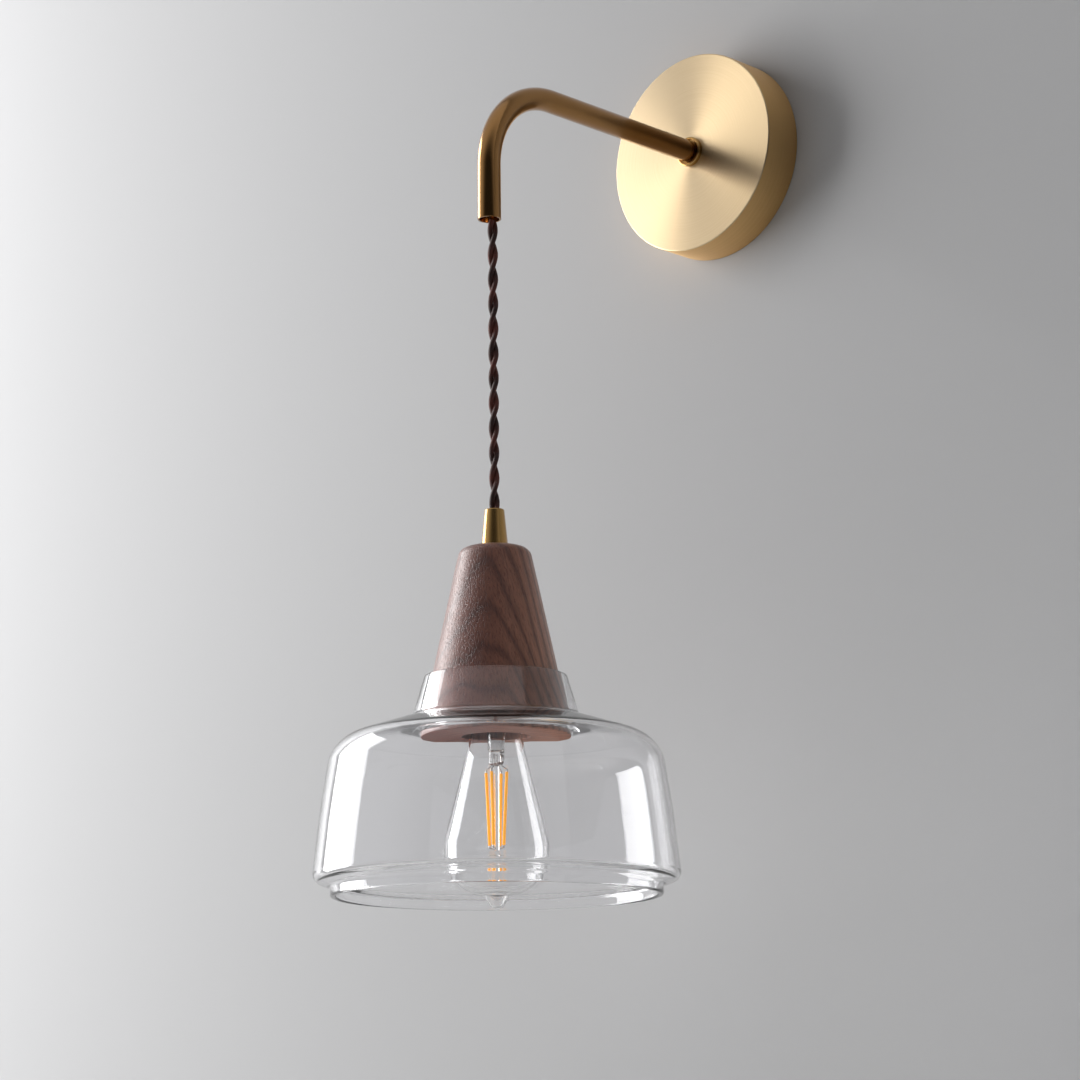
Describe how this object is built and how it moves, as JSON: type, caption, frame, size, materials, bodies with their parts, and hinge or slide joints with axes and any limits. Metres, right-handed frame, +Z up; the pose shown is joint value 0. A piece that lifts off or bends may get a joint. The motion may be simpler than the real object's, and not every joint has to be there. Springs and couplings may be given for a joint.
{
  "type": "hanging pendant wall sconce",
  "caption": "Wall sconce with a round back plate, a bent tube arm, a short twisted cord, a turned wooden cone and a wide clear glass shade resting on it.",
  "frame": {"origin": "middle of the wall plate's back, on the wall, on the arm's axis", "axes": "+Y into the wall, +Z up; the arm reaches out of the wall towards -Y"},
  "size_m": [0.2008, 0.3028, 0.5406],
  "materials": {
    "satin_brass": "brushed satin brass",
    "raw_brass": "plain brass",
    "zinc_steel": "zinc-plated steel",
    "nickel_plate": "nickel plate",
    "walnut": "oiled walnut with a satin sheen",
    "clear_glass": "clear blown glass",
    "bulb_glass": "clear thin glass",
    "black_glass": "black glass insulator",
    "phosphor": "yellow phosphor coat",
    "circuit_board": "white board",
    "brown_textile": "dark brown textile, braided over two twisted cores",
    "core_insulation": "core insulation",
    "earth_insulation": "earth lead insulation",
    "dark_nylon": "dark nylon",
    "white_nylon": "white nylon",
    "dark_moulding": "dark moulding",
    "porcelain": "glazed porcelain"
  },
  "bodies": {
    "wall_mount": {"wall_plate": "satin_brass", "locating_pin": "satin_brass", "mounting_bracket": "zinc_steel", "plate_screw": "satin_brass", "arm_collar": "satin_brass", "arm_tube": "satin_brass", "arm_bush": "raw_brass", "arm_rod": "zinc_steel", "arm_washer": "zinc_steel", "earth_lug": "raw_brass", "arm_nut": "zinc_steel", "cord_grip": "dark_nylon", "cord_grip_screw": "zinc_steel", "terminal_block": "white_nylon", "terminal_inserts": "raw_brass", "terminal_screws": "zinc_steel", "terminal_block_screw": "zinc_steel", "arm_cord": "brown_textile", "plate_cores": "core_insulation", "earth_lead": "earth_insulation"},
    "cord_upper": {"cord_top": "brown_textile"},
    "cord_free": {"pendant_cord": "brown_textile"},
    "pendant": {"ferrule": "satin_brass", "ferrule_grip": "dark_nylon", "pendant_rod": "zinc_steel", "rod_washer": "zinc_steel", "rod_nut": "zinc_steel", "wood_cone": "walnut", "holder_cap": "dark_moulding", "holder_body": "dark_moulding", "holder_insert": "porcelain", "holder_terminals": "raw_brass", "holder_shell": "raw_brass", "holder_contact": "raw_brass", "holder_cord": "brown_textile", "holder_cores": "core_insulation"},
    "shade": {"glass_shade": "clear_glass"},
    "bulb_end": {"bulb_contact": "nickel_plate"},
    "bulb": {"bulb_cap": "nickel_plate", "bulb_insulator": "black_glass", "bulb_envelope": "bulb_glass", "bulb_driver": "circuit_board", "bulb_stem": "bulb_glass", "bulb_filaments": "phosphor", "bulb_wires": "nickel_plate"}
  },
  "joints": [
    {"name": "swing_out", "type": "hinge", "parent": "wall_mount", "child": "cord_upper", "pos_m": [0, -0.2024, -0.0845], "axis": [1, 0, 0], "range_deg": [-30, 16]},
    {"name": "swing_side", "type": "hinge", "parent": "cord_upper", "child": "cord_free", "pos_m": [0, -0.2024, -0.0845], "axis": [0, 1, 0], "range_deg": [-30, 30]},
    {"name": "pendant_turn", "type": "hinge", "parent": "cord_free", "child": "pendant", "pos_m": [0, -0.2024, -0.2535], "axis": [0, 0, 1], "range_deg": [-90, 90]},
    {"name": "shade_lift", "type": "slide", "parent": "pendant", "child": "shade", "axis": [0, 0, 1], "range_m": [0, 0.25]},
    {"name": "bulb_travel", "type": "slide", "parent": "pendant", "child": "bulb_end", "axis": [0, 0, -1], "range_m": [0, 0.0182]},
    {"name": "bulb_turn", "type": "hinge", "parent": "bulb_end", "child": "bulb", "pos_m": [0, -0.2024, -0.34], "axis": [0, 0, -1], "range_deg": [0, 1800]}
  ],
  "couplings": [
    {"joint": "bulb_travel", "follows": "bulb_turn", "m_per_rad": 0.00057773}
  ]
}
